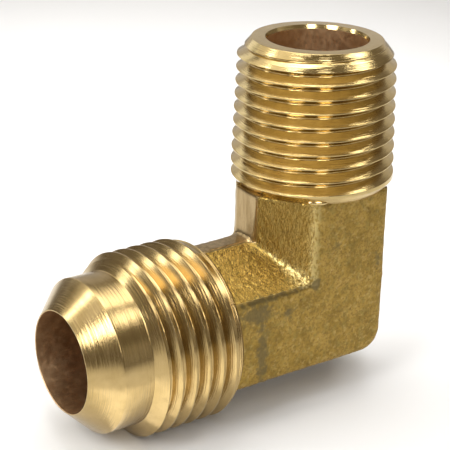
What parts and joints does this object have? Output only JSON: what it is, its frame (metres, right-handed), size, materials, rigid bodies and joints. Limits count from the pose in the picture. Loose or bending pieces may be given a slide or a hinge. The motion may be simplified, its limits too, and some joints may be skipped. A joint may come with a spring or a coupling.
{
  "type": "flare fitting",
  "caption": "Right-angle brass elbow that joins a flared 1/2 in tube to a 3/8 in tapered pipe port.",
  "frame": {"origin": "where the pipe port's axis leaves the flat underside of the heel", "axes": "+Z along the pipe port's axis, out of the port; -X along the flare port's axis, out of the port; +Y across the wrench flats"},
  "size_m": [0.0388, 0.0188, 0.0379],
  "materials": {
    "brass": "turned bright on the seat, the threads and the port ends; as forged, dull and grainy on the body"
  },
  "bodies": {
    "root": {"elbow_body": "brass"}
  },
  "joints": []
}
